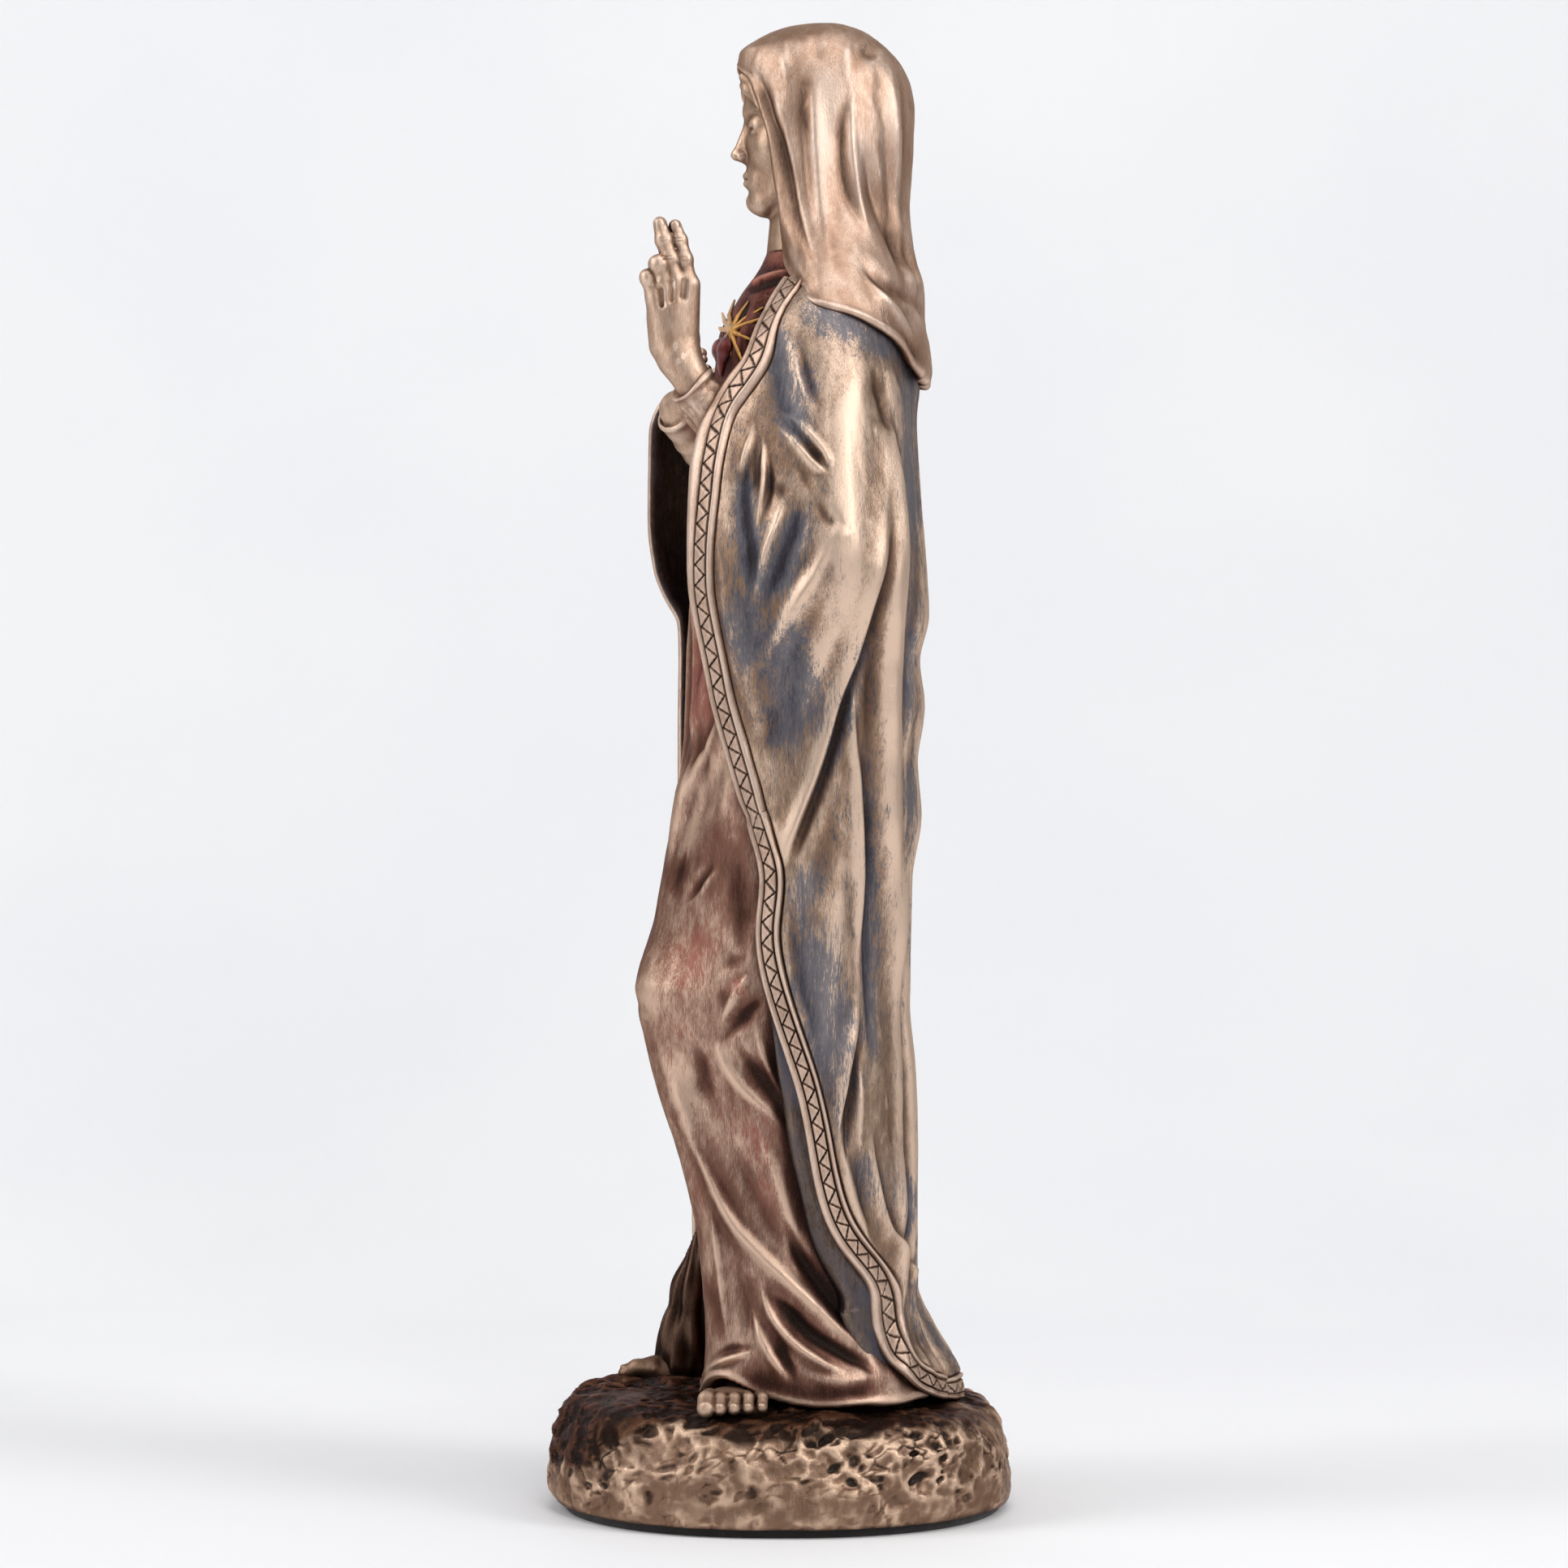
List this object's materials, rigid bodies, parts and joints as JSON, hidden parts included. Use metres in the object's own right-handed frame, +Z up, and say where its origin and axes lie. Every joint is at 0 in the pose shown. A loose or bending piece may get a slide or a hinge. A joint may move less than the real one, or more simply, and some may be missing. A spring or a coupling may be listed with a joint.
{
  "type": "devotional statuette",
  "caption": "Standing veiled woman in a long gown and bordered mantle, left hand raised, a heart with rays on the breast, on a low rounded rock.",
  "frame": {"origin": "middle of the underside of the felt pad", "axes": "+Z up, the figure faces -Y and its left side is +X"},
  "size_m": [0.0952, 0.0904, 0.2899],
  "materials": {
    "bronze": "satin cold-cast bronze with a brown patina, rubbed bright on the ridges, a worn blue wash on the mantle, a worn red wash on the gown, a dark red heart and gold rays",
    "felt": "thin black felt"
  },
  "bodies": {
    "root": {"cast_statue": "bronze", "felt_pad": "felt"}
  },
  "joints": []
}
